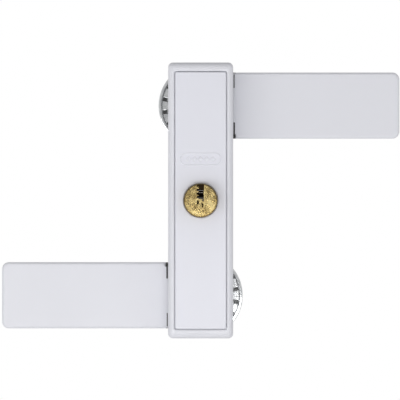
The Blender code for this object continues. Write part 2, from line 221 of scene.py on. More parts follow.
def shader_group(name, inputs, outputs):
    """An empty shader node group with number inputs and the outputs named."""
    tree = bpy.data.node_groups.new(name, "ShaderNodeTree")
    for key, value in inputs.items():
        socket = tree.interface.new_socket(key, in_out="INPUT", socket_type="NodeSocketFloat")
        socket.default_value = value
    for key, kind in outputs.items():
        tree.interface.new_socket(key, in_out="OUTPUT", socket_type=kind)
    return tree, tree.nodes.new("NodeGroupInput"), tree.nodes.new("NodeGroupOutput")


def make_grain_group():
    """Fine grain for bump, and a broad mottle for colour and gloss."""
    tree, given, result = shader_group(
        "surface_grain", {"Scale": 1000.0, "Broad": 60.0},
        {"Height": "NodeSocketFloat", "Mottle": "NodeSocketFloat"},
    )
    coord = add(tree, "ShaderNodeTexCoord").outputs["Object"]
    fine = add(tree, "ShaderNodeTexNoise",
               {"Vector": coord, "Scale": given.outputs["Scale"], "Detail": 5.0, "Roughness": 0.6})
    broad = add(tree, "ShaderNodeTexNoise",
                {"Vector": coord, "Scale": given.outputs["Broad"], "Detail": 2.5, "Roughness": 0.5})
    spread = add(tree, "ShaderNodeMapRange",
                 {"Value": broad.outputs["Fac"], "From Min": 0.25, "From Max": 0.75},
                 interpolation_type="SMOOTHSTEP")
    tree.links.new(fine.outputs["Fac"], result.inputs["Height"])
    tree.links.new(spread.outputs["Result"], result.inputs["Mottle"])
    return tree


def make_hairline_group():
    """Faint straight scratches, two crossing sets of stretched noise."""
    tree, given, result = shader_group(
        "hairlines", {"Scale": 900.0, "Amount": 0.5}, {"Mask": "NodeSocketFloat"}
    )
    coord = add(tree, "ShaderNodeTexCoord").outputs["Object"]
    sets = []
    for turn in (0.35, -0.9):
        placed = add(tree, "ShaderNodeMapping", {"Vector": coord})
        placed.inputs["Rotation"].default_value = (0.0, turn, 0.0)
        placed.inputs["Scale"].default_value = (1.0, 1.0, 0.02)
        lines = add(tree, "ShaderNodeTexNoise",
                    {"Vector": placed.outputs["Vector"], "Scale": given.outputs["Scale"],
                     "Detail": 2.0})
        thin = add(tree, "ShaderNodeMapRange",
                   {"Value": lines.outputs["Fac"], "From Min": 0.60, "From Max": 0.72})
        sets.append(thin.outputs["Result"])
    both = add(tree, "ShaderNodeMath", {0: sets[0], 1: sets[1]}, operation="MAXIMUM")
    scaled = add(tree, "ShaderNodeMath",
                 {0: both.outputs[0], 1: given.outputs["Amount"]}, operation="MULTIPLY")
    tree.links.new(scaled.outputs[0], result.inputs["Mask"])
    return tree


# The edge mask drives worn metal edges, and painted highlights and painted shade on the coats and
# the brass.
def make_edge_group():
    """Where a piece's edges are, from a normal rounded over them, and that normal itself."""
    tree, given, result = shader_group(
        "edge_finder_group", {"Radius": 0.0003, "Gain": 6.0},
        {"Edge": "NodeSocketFloat", "Normal": "NodeSocketVector"},
    )
    rounded = add(tree, "ShaderNodeBevel", {"Radius": given.outputs["Radius"]}, samples=6)
    true_normal = add(tree, "ShaderNodeNewGeometry").outputs["Normal"]
    agree = add(tree, "ShaderNodeVectorMath",
                {0: rounded.outputs["Normal"], 1: true_normal}, operation="DOT_PRODUCT")
    turned_away = add(tree, "ShaderNodeMath", {0: 1.0, 1: agree.outputs["Value"]},
                      operation="SUBTRACT")
    gained = add(tree, "ShaderNodeMath", {0: turned_away.outputs[0], 1: given.outputs["Gain"]},
                 operation="MULTIPLY", use_clamp=True)
    tree.links.new(gained.outputs[0], result.inputs["Edge"])
    tree.links.new(rounded.outputs["Normal"], result.inputs["Normal"])
    return tree


grain_group = make_grain_group()
hairline_group = make_hairline_group()
edge_group = make_edge_group()


def start_material(name, metallic):
    """A new material, its node tree and its shader."""
    material = bpy.data.materials.new(name)
    material.use_nodes = True
    tree = material.node_tree
    shader = tree.nodes["Principled BSDF"]
    shader.inputs["Metallic"].default_value = metallic
    return material, tree, shader


def group_node(tree, group, **values):
    """A shared node group placed in a tree, with its inputs set."""
    node = tree.nodes.new("ShaderNodeGroup")
    node.node_tree = group
    for key, value in values.items():
        node.inputs[key].default_value = value
    return node


def blend_colours(tree, factor, first, second):
    """Two colours, each a socket or a value, mixed by a mask."""
    mix = add(tree, "ShaderNodeMix", data_type="RGBA")
    tree.links.new(factor, mix.inputs[0])
    for socket, colour in ((mix.inputs[6], first), (mix.inputs[7], second)):
        if isinstance(colour, bpy.types.NodeSocket):
            tree.links.new(colour, socket)
        else:
            socket.default_value = (*colour, 1.0)
    return mix.outputs[2]


def spread(tree, value, low, high):
    """A mask from 0 to 1 spread between two values."""
    return add(tree, "ShaderNodeMapRange",
               {"Value": value, "To Min": low, "To Max": high}).outputs["Result"]


def metal(name, clean, dull, gloss, grain=1600.0, broad=120.0, depth=0.00002, lines=0.4,
          hollow=(1.0, 2.0)):
    """A bright worked metal: two tones in a broad mottle, grain, and brighter edges.

    It is polished except along its scratches, whose roughness follows gloss. Between the two
    depths in hollow it darkens to near black: painted shade in the deep hollows.
    """
    material, tree, shader = start_material(name, 1.0)
    surface = group_node(tree, grain_group, Scale=grain, Broad=broad)
    scratch = group_node(tree, hairline_group, Scale=700.0, Amount=lines)
    edge_finder = group_node(tree, edge_group)
    toned = blend_colours(tree, surface.outputs["Mottle"], clean, dull)
    bright = [min(1.0, 1.12 * channel) for channel in clean]
    edged = blend_colours(tree, edge_finder.outputs["Edge"], toned, bright)
    place = add(tree, "ShaderNodeTexCoord").outputs["Object"]
    depth_in = add(tree, "ShaderNodeSeparateXYZ", {"Vector": place}).outputs["Y"]
    # Painted shade: the colour goes nearly black between the two depths in hollow.
    hollow_shade = add(tree, "ShaderNodeMapRange",
               {"Value": depth_in, "From Min": hollow[0], "From Max": hollow[1], "To Max": 0.88})
    tree.links.new(blend_colours(tree, hollow_shade.outputs[0], edged, (0.03, 0.03, 0.03)),
                   shader.inputs["Base Color"])
    mottled = spread(tree, surface.outputs["Mottle"], gloss[0], gloss[1])
    dulled = spread(tree, scratch.outputs["Mask"], 0.0, 0.12)
    scuffed = add(tree, "ShaderNodeMath", {0: mottled, 1: scratch.outputs["Mask"], 2: dulled},
                  operation="MULTIPLY_ADD")
    tree.links.new(scuffed.outputs[0], shader.inputs["Roughness"])
    bump = add(tree, "ShaderNodeBump",
               {"Height": surface.outputs["Height"], "Strength": 0.6, "Distance": depth,
                "Normal": edge_finder.outputs["Normal"]})
    tree.links.new(bump.outputs["Normal"], shader.inputs["Normal"])
    return material


def dress(obj, material, body, slot, *nodes, stand=WALL):
    """Stand a finished piece up, give it its material and body, and hide the CAD nodes it stands
    for. The slot is not used.
    """
    even = obj.modifiers.new("even", "WEIGHTED_NORMAL")
    even.keep_sharp = True
    bake(obj)
    obj.data.transform(stand)
    obj.data.materials.clear()
    obj.data.materials.append(material)
    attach(obj, body)
    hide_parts(*nodes)


plated_steel = metal("plated_steel", (0.62, 0.63, 0.65), (0.50, 0.51, 0.54), (0.24, 0.38))

plate_back, plate_front = layer("base_plate")
plate_half_x, plate_half_y = half_size("base_plate")
post_height = middle("upper_pivot_post")[1]
plate_corner, tenon_hole, below_plate, above_plate = 3, 2.8, -1, 3
screw_x, screw_y, shank_hole, head_hole, shank_depth = 9.5, 21.5, 2.25, 4, 0.4
countersunk = [(0, below_plate), (shank_hole, below_plate), (shank_hole, shank_depth),
               (head_hole, plate_front), (head_hole, above_plate), (0, above_plate)]
strip = prism(round_corners(plate_half_x, plate_half_y, plate_corner, 10), plate_back, plate_front)
plate = make("base_plate_strip", strip)
for side in (1, -1):
    combine(plate, rod(tenon_hole, below_plate, above_plate, (0, side * post_height), 48))
    for x in (screw_x, -screw_x):
        combine(plate, lathe(countersunk, (x, side * screw_y), 48))
soften(plate, 0.22)
dress(plate, plated_steel, "root", "steel", "base_plate")


# ---- pivot posts, thrust washers, disc springs and retaining rings ----------------------------
# Turned steel posts riveted into the plate. On each, a washer, a conical disc spring and a
# spring clip press the bar's hub down on the plate, and so give the bar its stiff swing.
spring_steel = metal("spring_steel", (0.34, 0.34, 0.36), (0.22, 0.21, 0.21), (0.26, 0.42), lines=0.3)


def rounded_ring(inner, outer, back, front, edge):
    """The section of a plain ring whose four edges are broken by a small chamfer."""
    return [
        (inner, front - edge), (inner + edge, front), (outer - edge, front), (outer, front - edge),
        (outer, back + edge), (outer - edge, back), (inner + edge, back), (inner, back + edge),
    ]


for name, stand in SIDES.items():
    centre = (0, post_height)
    back, front = layer(f"{name}_pivot_post")
    barrel, tenon, neck, bore, bore_floor, break_ = 4.5, 2.5, 3.6, 2.8, 8.5, 0.3
    clip_back, clip_front = layer(f"{name}_retaining_ring")
    seat = plate_front + 0.3
    profile = [
        (0, bore_floor), (bore, bore_floor), (bore, front - break_), (bore + break_, front),
        (barrel - break_, front), (barrel, front - break_), (barrel, clip_front + 0.3),
        (neck, clip_front + 0.3), (neck, clip_back - 0.3), (barrel, clip_back - 0.3),
        (barrel, seat), (tenon, seat), (tenon, back + 0.4), (tenon - 0.5, back),
        (0.8, back), (0, back + 0.5),
    ]
    post = make(f"{name}_post_turned", lathe(profile, centre))
    dress(post, plated_steel, "root", "steel", f"{name}_pivot_post", stand=stand)

    back, front = layer(f"{name}_thrust_washer")
    washer_radius = half_size(f"{name}_thrust_washer")[0]
    washer_bore = 4.8
    ring = rounded_ring(washer_bore, washer_radius, back, front, 0.15)
    washer = make(f"{name}_washer_ring", lathe(ring, centre))
    dress(washer, plated_steel, "root", "steel", f"{name}_thrust_washer", stand=stand)

    back, front = layer(f"{name}_disc_spring")
    disc_bore, disc_thick, disc_foot = 4.9, 0.5, 7.9
    cone = [(disc_bore, front), (disc_bore + 0.2, front), (washer_radius, back + disc_thick),
            (washer_radius, back), (disc_foot, back), (disc_bore, front - disc_thick)]
    disc = make(f"{name}_spring_disc", lathe(cone, centre))
    dress(disc, spring_steel, "root", "spring_steel", f"{name}_disc_spring", stand=stand)

    clip_outer, clip_inner, mouth_start, mouth_end = 7, 3.9, 235, -55
    ear_outer = arc(clip_outer, mouth_end, mouth_start, 48, centre)
    ear_inner = arc(clip_inner, mouth_start, mouth_end, 40, centre)
    clip = make(f"{name}_clip", prism(ear_outer + ear_inner, clip_back, clip_front))
    soften(clip, 0.12)
    dress(clip, spring_steel, "root", "spring_steel", f"{name}_retaining_ring", stand=stand)


# ---- hubs, bushes and rivets ------------------------------------------------------------------
# Die-cast zinc discs that turn with the bars. Radial pockets save metal inside the rim, and a
# thin ring bridges them. A bronze bush is pressed into each, and three rivets hold the bar on top.
POCKETS = 18
# Painted shade: the zinc darkens to near black from 5.5 mm down to 4.3 mm from the wall, in the
# pockets, the groove and down the sides.
cast_zinc = metal("cast_zinc", (0.90, 0.91, 0.92), (0.66, 0.68, 0.70), (0.52, 0.68),
                  grain=2400.0, broad=500.0, depth=0.00003, lines=0.25, hollow=(-0.0055, -0.0043))
bronze = metal("sintered_bronze", (0.56, 0.38, 0.20), (0.42, 0.27, 0.13), (0.4, 0.55), grain=5000.0)


def geometry_group(name, sizes):
    """A geometry node group with a count, a finish and the sizes named, not yet filled in."""
    tree = bpy.data.node_groups.new(name, "GeometryNodeTree")
    tree.interface.new_socket("Geometry", in_out="INPUT", socket_type="NodeSocketGeometry")
    tree.interface.new_socket("Count", in_out="INPUT", socket_type="NodeSocketInt")
    for key in sizes:
        tree.interface.new_socket(key, in_out="INPUT", socket_type="NodeSocketFloat")
    tree.interface.new_socket("Finish", in_out="INPUT", socket_type="NodeSocketMaterial")
    tree.interface.new_socket("Geometry", in_out="OUTPUT", socket_type="NodeSocketGeometry")
    return tree, tree.nodes.new("NodeGroupInput"), tree.nodes.new("NodeGroupOutput")


def finish_group(tree, given, result, mesh):
    """End a geometry node group with its real mesh in its finish."""
    real = add(tree, "GeometryNodeRealizeInstances", {"Geometry": mesh})
    finish = add(tree, "GeometryNodeSetMaterial",
                 {"Geometry": real.outputs["Geometry"], "Material": given.outputs["Finish"]})
    tree.links.new(finish.outputs["Geometry"], result.inputs["Geometry"])


def pocket_tree():
    """Geometry nodes that cut a ring of equal pockets into a casting."""
    tree, given, result = geometry_group(
        "pocket_ring", ("Circle", "Length", "Width", "Depth", "Height"))
    circle = add(tree, "GeometryNodeMeshCircle",
                 {"Vertices": given.outputs["Count"], "Radius": given.outputs["Circle"]})
    lift = add(tree, "ShaderNodeCombineXYZ", {"Z": given.outputs["Height"]})
    raised = add(tree, "GeometryNodeSetPosition",
                 {"Geometry": circle.outputs["Mesh"], "Offset": lift.outputs["Vector"]})
    size = add(tree, "ShaderNodeCombineXYZ",
               {"X": given.outputs["Length"], "Y": given.outputs["Width"],
                "Z": given.outputs["Depth"]})
    pocket = add(tree, "GeometryNodeMeshCube", {"Size": size.outputs["Vector"]})
    place = add(tree, "GeometryNodeInputPosition")
    flat = add(tree, "ShaderNodeVectorMath", {0: place.outputs["Position"], 1: (1.0, 1.0, 0.0)},
               operation="MULTIPLY")
    radial = add(tree, "FunctionNodeAlignRotationToVector", {"Vector": flat.outputs["Vector"]},
                 axis="X")
    pockets = add(tree, "GeometryNodeInstanceOnPoints",
                  {"Points": raised.outputs["Geometry"], "Instance": pocket.outputs["Mesh"],
                   "Rotation": radial.outputs["Rotation"]})
    real_pockets = add(tree, "GeometryNodeRealizeInstances",
                       {"Geometry": pockets.outputs["Instances"]})
    cut = add(tree, "GeometryNodeMeshBoolean", operation="DIFFERENCE", solver="MANIFOLD")
    tree.links.new(given.outputs["Geometry"], cut.inputs["Mesh 1"])
    tree.links.new(real_pockets.outputs["Geometry"], cut.inputs["Mesh 2"])
    finish_group(tree, given, result, cut.outputs["Mesh"])
    return tree


def run_tree(obj, tree, **values):
    """Run a geometry node tree on an object with its inputs set, and keep the plain mesh."""
    modifier = obj.modifiers.new(tree.name, "NODES")
    modifier.node_group = tree
    for item in tree.interface.items_tree:
        if item.in_out == "INPUT" and item.name in values:
            modifier[item.identifier] = values[item.name]
    bake(obj)
    smooth(obj.data)


pocket_ring = pocket_tree()
rivet_circle, rivet_shank, rivet_hole = 12, 1.5, 1.8
rivet_spots = [arc(rivet_circle, angle, angle, 1)[0] for angle in (20, 120, 225)]

for name, stand in SIDES.items():
    arm = f"{name}_arm"
    hub_back, hub_top = layer(f"{name}_hub")
    hub_radius = half_size(f"{name}_hub")[0]
    rim_top, web_in, bridge_in = 6.5, 15.5, 17
    floor, pocket_floor = rim_top - 0.9, hub_back + 1.2
    rim_in, groove_in, bore, boss = hub_radius - 1.6, hub_radius - 2, 5.9, 9
    profile = [
        (bore, hub_top - 0.3), (bore + 0.3, hub_top), (boss - 0.3, hub_top),
        (boss, hub_top - 0.3), (boss, rim_top), (web_in, rim_top), (web_in, floor),
        (groove_in, floor), (groove_in, floor - 0.6), (rim_in, floor - 0.6),
        (rim_in, rim_top - 0.2), (rim_in + 0.2, rim_top), (hub_radius - 0.5, rim_top),
        (hub_radius - 0.15, rim_top - 0.15), (hub_radius, rim_top - 0.5),
        (hub_radius, hub_back + 0.4), (hub_radius - 0.4, hub_back),
        (bore + 0.3, hub_back), (bore, hub_back + 0.3),
    ]
    hub = make(f"{name}_hub_casting", lathe(profile, steps=144))
    run_tree(hub, pocket_ring, Count=POCKETS, Circle=17.7, Length=3.6, Width=2.1,
             Depth=4, Height=pocket_floor + 2, Finish=cast_zinc)
    hub.data.transform(Matrix.Rotation(math.pi / POCKETS, 4, "Z"))
    bridge = rounded_ring(bridge_in, bridge_in + 0.4, pocket_floor - 0.3, floor - 0.4, 0.1)
    combine(hub, lathe(bridge, steps=144), "UNION")
    for spot in rivet_spots:
        combine(hub, rod(rivet_hole, 1, 8, spot, 32))
    on_post = stand @ Matrix.Translation((0, post_height, 0))
    dress(hub, cast_zinc, arm, "zinc", f"{name}_hub", stand=on_post)

    back, front = layer(f"{name}_bush")
    bush_bore, bush_outer = 4.8, 5.6
    bush = make(f"{name}_bush_sleeve",
                lathe(rounded_ring(bush_bore, bush_outer, back, front, 0.15), (0, post_height)))
    dress(bush, bronze, arm, "bronze", f"{name}_bush", stand=stand)

    for number in (1, 2, 3):
        node = f"{name}_rivet_{number}"
        spot = Vector((*middle(node), 0))
        if name == "lower":
            spot = -spot
        back, front = layer(node)
        head = half_size(node)[0]
        profile = [(0, front), (head - 0.7, front - 0.05), (head - 0.2, front - 0.2),
                   (head, front - 0.4), (head, front - 0.6), (rivet_shank, front - 0.7),
                   (rivet_shank, back + 0.2), (rivet_shank - 0.2, back), (0, back)]
        rivet = make(f"{node}_head", lathe(profile, (spot.x, spot.y), 40))
        dress(rivet, plated_steel, arm, "steel", node, stand=stand)


# ---- swinging bars ----------------------------------------------------------------------------
# 4 mm steel flats with a white powder coat, one over each sash. The eye has two notches for the
# locking bolt, so the bar locks both across the sash and turned out of the way.
def coat(name, colour, gloss, peel, depth, edge_highlight, groove_shade=None):
    """White paint or plastic: a faint mottle, painted highlights along the edges, and painted shade
    in the narrow grooves.
    """
    material, tree, shader = start_material(name, 0.0)
    surface = group_node(tree, grain_group, Scale=peel, Broad=25.0)
    edge_finder = group_node(tree, edge_group, Radius=0.0004, Gain=3.0)
    shade = [channel * 0.988 for channel in colour]
    toned = blend_colours(tree, surface.outputs["Mottle"], colour, shade)
    # Painted highlight: the edges are lightened towards white.
    highlighted_edges = spread(tree, edge_finder.outputs["Edge"], 0.0, edge_highlight)
    finish = blend_colours(tree, highlighted_edges, toned, (0.93, 0.93, 0.93))
    # Painted shade: near black inward of the bar's shoulder and deeper than 0.9 mm below its front
    # face, which takes in the shoulder grooves.
    if groove_shade:
        place = add(tree, "ShaderNodeTexCoord").outputs["Object"]
        axes = add(tree, "ShaderNodeSeparateXYZ", {"Vector": place})
        across = add(tree, "ShaderNodeMath", {0: axes.outputs["X"]}, operation="ABSOLUTE").outputs[0]
        near = add(tree, "ShaderNodeMapRange",
                   {"Value": across, "From Min": groove_shade[0] + 0.0004, "From Max": groove_shade[0]})
        below = add(tree, "ShaderNodeMapRange",
                    {"Value": axes.outputs["Y"], "From Min": groove_shade[1] + 0.0002,
                     "From Max": groove_shade[1] + 0.0009})
        groove_shade_mask = add(tree, "ShaderNodeMath", {0: near.outputs[0], 1: below.outputs[0]},
                     operation="MULTIPLY")
        finish = blend_colours(tree, groove_shade_mask.outputs[0], finish, (0.025, 0.024, 0.022))
    tree.links.new(finish, shader.inputs["Base Color"])
    mottled = spread(tree, surface.outputs["Mottle"], gloss[0], gloss[1])
    tree.links.new(mottled, shader.inputs["Roughness"])
    bump = add(tree, "ShaderNodeBump",
               {"Height": surface.outputs["Height"], "Strength": 0.5, "Distance": depth})
    tree.links.new(bump.outputs["Normal"], shader.inputs["Normal"])
    return material


# The last entry is how far the edges are lightened towards white, a painted highlight.
powder = {"colour": (0.775, 0.78, 0.83), "gloss": (0.31, 0.36), "peel": 900.0, "depth": 0.00002,
          "edge_highlight": 0.25}
bar_top = layer("upper_bar")[1]
# The bar's coat paints its shoulder grooves near black, as shade.
bar_coat = coat("white_bar_coat", **powder, groove_shade=(0.0176, -bar_top / MM))


def bar_outline(reach, half_blade):
    """The bar's edge about its pivot: the notched eye, the neck and the blade's round corners."""
    eye, half_neck, half_notch, notch_floor = 15, 8.6, 4.3, 10.6
    shoulder, tip = 16.6, 3.4
    neck_angle = math.degrees(math.asin(half_neck / eye))
    notch_angle = math.degrees(math.asin(half_notch / eye))
    edge = arc(eye, neck_angle, 180 - notch_angle, 40)
    edge += [(-notch_floor, half_notch), (-notch_floor, -half_notch)]
    edge += arc(eye, 180 + notch_angle, 270 - notch_angle, 16)
    edge += [(-half_notch, -notch_floor), (half_notch, -notch_floor)]
    edge += arc(eye, 270 + notch_angle, 360 - neck_angle, 10)
    edge += [(shoulder, -half_neck), (shoulder, -half_blade)]
    edge += arc(tip, -90, 0, 12, (reach - tip, tip - half_blade))
    edge += arc(tip, 0, 90, 12, (reach - tip, half_blade - tip))
    edge += [(shoulder, half_blade), (shoulder, half_neck)]
    return edge


above, below, groove_floor, head_seat, head_hole, eye_bore = 20, 5, 9, 9.7, 2.8, 9.3
for name, stand in SIDES.items():
    arm = f"{name}_arm"
    node = f"{name}_bar"
    back, front = layer(node)
    low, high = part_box(node)
    reach, half_blade = max(high.x, -low.x) * MM, (high.z - low.z) / 2 * MM
    shape = prism(bar_outline(reach, half_blade), back, front)
    for round_, level in ((1.4, front), (0.5, back)):
        rim = [e for e in shape.edges if all(abs(v.co.z - level) < 1e-3 for v in e.verts)
               and max(v.co.x for v in e.verts) > 17.0]
        bmesh.ops.bevel(shape, geom=rim, offset=round_, segments=5, profile=0.5, affect="EDGES",
                        clamp_overlap=True)
    bar = make(f"{name}_bar_plate", shape)
    combine(bar, rod(eye_bore, 0, above))
    for low_x, high_x, low_y, high_y, floor in ((16.0, 18.2, -20, 2.2 - half_blade, back + 1),
                                                (16.7, 17.5, 1 - half_blade, -8.6, groove_floor),
                                                (16.8, 17.3, 9.0, half_blade - 1, groove_floor)):
        combine(bar, block(low_x, high_x, low_y, high_y, floor, above))
    for spot in rivet_spots:
        hole = [(0, below), (rivet_hole, below), (rivet_hole, head_seat), (head_hole, head_seat),
                (head_hole, above), (0, above)]
        combine(bar, lathe(hole, spot, 32))
    on_post = stand @ Matrix.Translation((0, post_height, 0))
    dress(bar, bar_coat, arm, "white_paint", node, stand=on_post)


# ---- springs of the locking bolts -------------------------------------------------------------
# Square steel bolts that slide up and down under the case. A small compression spring in each
# bolt's window presses it back on the wedge, which pushes the cylinder out when it is free.
for name, stand in SIDES.items():
    node = f"{name}_bolt_spring"
    low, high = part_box(node)
    wire, turns, closed_turns, per_turn = 0.25, 7, 1.5, 24
    radius = (high.x - low.x) / 2 * MM - wire
    centre_z = -(low.y + high.y) / 2 * MM
    start = min(abs(low.z), abs(high.z)) * MM + wire
    length = (high.z - low.z) * MM - 2 * wire
    closed_pitch = 2.1 * wire
    active = turns - 2 * closed_turns
    open_pitch = (length - 2 * closed_turns * closed_pitch) / active
    rings = []
    for step in range(turns * per_turn + 1):
        done = step / per_turn
        first = min(done, closed_turns)
        mid = min(max(done - closed_turns, 0), active)
        last = max(done - closed_turns - active, 0)
        along = start + closed_pitch * (first + last) + open_pitch * mid
        angle = 2 * math.pi * done
        outward = Vector((math.cos(angle), 0, math.sin(angle)))
        spine = outward * radius + Vector((0, along, centre_z))
        ring = []
        for i in range(10):
            turn = 2 * math.pi * i / 10
            ring.append(spine + wire * (outward * math.cos(turn) + Vector((0, math.sin(turn), 0))))
        rings.append(ring)
    coil = make(f"{name}_spring_coil", loft(rings))
    dress(coil, spring_steel, "root", "spring_steel", node, stand=stand)


# ---- case -------------------------------------------------------------------------------------
# A die-cast shell with a white powder coat. Its front rim is rounded over, with a sunk bed for
# the cover, and only its middle reaches back to the base plate, so that the bars pass behind it.
powder_coat = coat("white_powder_coat", **powder)
case_back, case_front = layer("case_housing")
case_x, case_y = half_size("case_housing")
cover_back, cover_front = layer("cover_plate")
cover_x, cover_y = half_size("cover_plate")
groove, wall, corner, bed = 0.5, 2.2, 2.5, 29.5
front_wall_back, arm_gap, pedestal = 27.5, 11.6, 24
bed_x, bed_y = cover_x + groove, cover_y + groove
rings = []
for half_x, half_y, z in ((case_x - wall, case_y - wall, front_wall_back),
                          (case_x - wall, case_y - wall, case_back)):
    rings.append([(x, y, z) for x, y in round_corners(half_x, half_y, 1)])
rings.append([(x, y, case_back) for x, y in round_corners(case_x, case_y, corner)])
rim_x, rim_y, rim_z, lip = 2.5, 3.2, 3.4, 0.3
for step in range(13):
    turn = math.pi / 2 * step / 12
    away, up = 1 - math.cos(turn), math.sin(turn)
    outline = round_corners(case_x - rim_x * away, case_y - rim_y * away, corner - away)
    rings.append([(x, y, case_front - rim_z + rim_z * up) for x, y in outline])
for inset, z in ((-lip, case_front), (-0.3 * lip, case_front - 0.3 * lip), (0, case_front - lip),
                 (0, bed)):
    outline = round_corners(bed_x - inset, bed_y - inset, 1 - inset)
    rings.append([(x, y, z) for x, y in outline])
case = make("case_shell", loft(rings))
for side in (1, -1):
    low_y, high_y = sorted((side * pedestal, side * 80))
    combine(case, block(-30, 30, low_y, high_y, -20, arm_gap))
    centre = (0, side * post_height)
    pillar, foot, top = 6.2, 20, 28.5
    boss = [(0, foot), (pillar - 0.2, foot), (pillar, foot + 0.2), (pillar, top), (0, top)]
    combine(case, lathe(boss, centre), "UNION")
    shank, head, seat, outside = 2.8, 4.6, 27.2, 40
    screw_hole = [(0, 10), (shank, 10), (shank, seat), (head, seat), (head, outside), (0, outside)]
    combine(case, lathe(screw_hole, centre))
cylinder_hole = 8.9
combine(case, rod(cylinder_hole, foot, outside, steps=96))
for level in (case_back, arm_gap):
    round_level(case, level, 0.3)
dress(case, powder_coat, "root", "white_paint", "case_housing")


# ---- cover ------------------------------------------------------------------------------------
# A moulded white plate that snaps into the case's front and hides its two screws. A plain oval
# frame with a row of lozenges is raised on it above the cylinder.
# Its edges get a slight painted highlight from coat.
white_plastic = coat("white_moulding", (0.79, 0.795, 0.86), (0.285, 0.32), 2200.0, 0.000006, 0.1)
edge_round = 0.3
rings = [[(x, y, cover_back) for x, y in round_corners(cover_x, cover_y, 1)]]
for step in range(5):
    turn = math.pi / 2 * step / 4
    inset = edge_round * (1 - math.cos(turn))
    z = cover_front - edge_round + edge_round * math.sin(turn)
    rings.append([(x, y, z) for x, y in round_corners(cover_x - inset, cover_y - inset, 1 - inset)])
cover = make("cover_panel", loft(rings))
hole_radius = 8.8
combine(cover, lathe([(0, foot), (hole_radius, foot), (hole_radius, cover_front - edge_round),
                      (hole_radius + edge_round, cover_front + 0.01),
                      (hole_radius + edge_round, outside), (0, outside)], steps=96))
badge_y, badge_x, badge_half_y, raised, line = 20.9, 10.3, 2.9, 0.35, 0.38
path = round_corners(badge_x, badge_half_y, badge_half_y - 0.01, 16)
rings = []
for i, (x, y) in enumerate(path):
    before, after = Vector(path[i - 1]), Vector(path[(i + 1) % len(path)])
    along = (after - before).normalized()
    out = Vector((along.y, -along.x))
    ring = []
    for across, up in ((-1, -1), (-0.8, 0.5), (-0.6, 0.9), (0, 1), (0.6, 0.9), (0.8, 0.5), (1, -1)):
        ring.append((x + out.x * across * line, badge_y + y + out.y * across * line,
                     cover_front + up * raised))
    rings.append(ring)
combine(cover, loft(rings, closed=True), "UNION")


def lozenge_tree():
    """Geometry nodes that set a row of small raised lozenges on a panel."""
    tree, given, result = geometry_group(
        "lozenge_row", ("Pitch", "Radius", "Flat", "Rise", "Level", "Row"))
    steps = add(tree, "ShaderNodeMath", {0: given.outputs["Count"], 1: 1.0}, operation="SUBTRACT")
    reach = add(tree, "ShaderNodeMath", {0: steps.outputs[0], 1: given.outputs["Pitch"]},
                operation="MULTIPLY")
    left = add(tree, "ShaderNodeMath", {0: reach.outputs[0], 1: -0.5}, operation="MULTIPLY")
    origin = add(tree, "ShaderNodeCombineXYZ",
                 {"X": left.outputs[0], "Y": given.outputs["Row"], "Z": given.outputs["Level"]})
    offset = add(tree, "ShaderNodeCombineXYZ", {"X": given.outputs["Pitch"]})
    row = add(tree, "GeometryNodeMeshLine",
              {"Count": given.outputs["Count"], "Start Location": origin.outputs["Vector"],
               "Offset": offset.outputs["Vector"]})
    stud = add(tree, "GeometryNodeMeshCone",
               {"Vertices": 4, "Radius Top": given.outputs["Flat"],
                "Radius Bottom": given.outputs["Radius"], "Depth": given.outputs["Rise"]})
    studs = add(tree, "GeometryNodeInstanceOnPoints",
                {"Points": row.outputs["Mesh"], "Instance": stud.outputs["Mesh"]})
    real_studs = add(tree, "GeometryNodeRealizeInstances", {"Geometry": studs.outputs["Instances"]})
    joined = add(tree, "GeometryNodeMeshBoolean", operation="UNION", solver="MANIFOLD")
    tree.links.new(given.outputs["Geometry"], joined.inputs["Mesh 2"])
    tree.links.new(real_studs.outputs["Geometry"], joined.inputs["Mesh 2"])
    finish_group(tree, given, result, joined.outputs["Mesh"])
    return tree


run_tree(cover, lozenge_tree(), Count=5, Pitch=3.1, Radius=1.6, Flat=1.25,
         Rise=0.7, Level=cover_front - 0.25, Row=badge_y, Finish=white_plastic)
dress(cover, white_plastic, "root", "white_plastic", "cover_plate")


